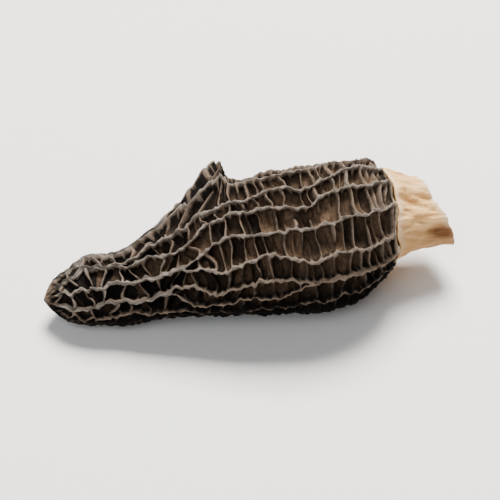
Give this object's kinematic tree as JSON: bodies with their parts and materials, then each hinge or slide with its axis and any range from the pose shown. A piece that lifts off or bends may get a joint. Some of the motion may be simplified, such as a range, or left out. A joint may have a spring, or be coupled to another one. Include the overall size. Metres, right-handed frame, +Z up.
{
  "type": "dried morel mushroom",
  "caption": "Dried black morel lying on its side: a hollow tapering cap covered by a raised net of ridges round deep pits, and the short hollow stub of its cut stem.",
  "frame": {"origin": "under the middle of the mushroom's bounding box, on the surface it lies on", "axes": "+X runs along the mushroom from the tip of the cap to the cut stem, +Z is up, and the side turned to the viewer is -Y"},
  "size_m": [0.0606, 0.0236, 0.0212],
  "materials": {
    "cap_flesh": "dry and matte, near-black pits with pale grey-beige ridge edges",
    "stem_flesh": "dry and matte, cream with tan streaks, orange-brown inside"
  },
  "bodies": {
    "root": {"cap": "cap_flesh", "stem": "stem_flesh"}
  },
  "joints": []
}
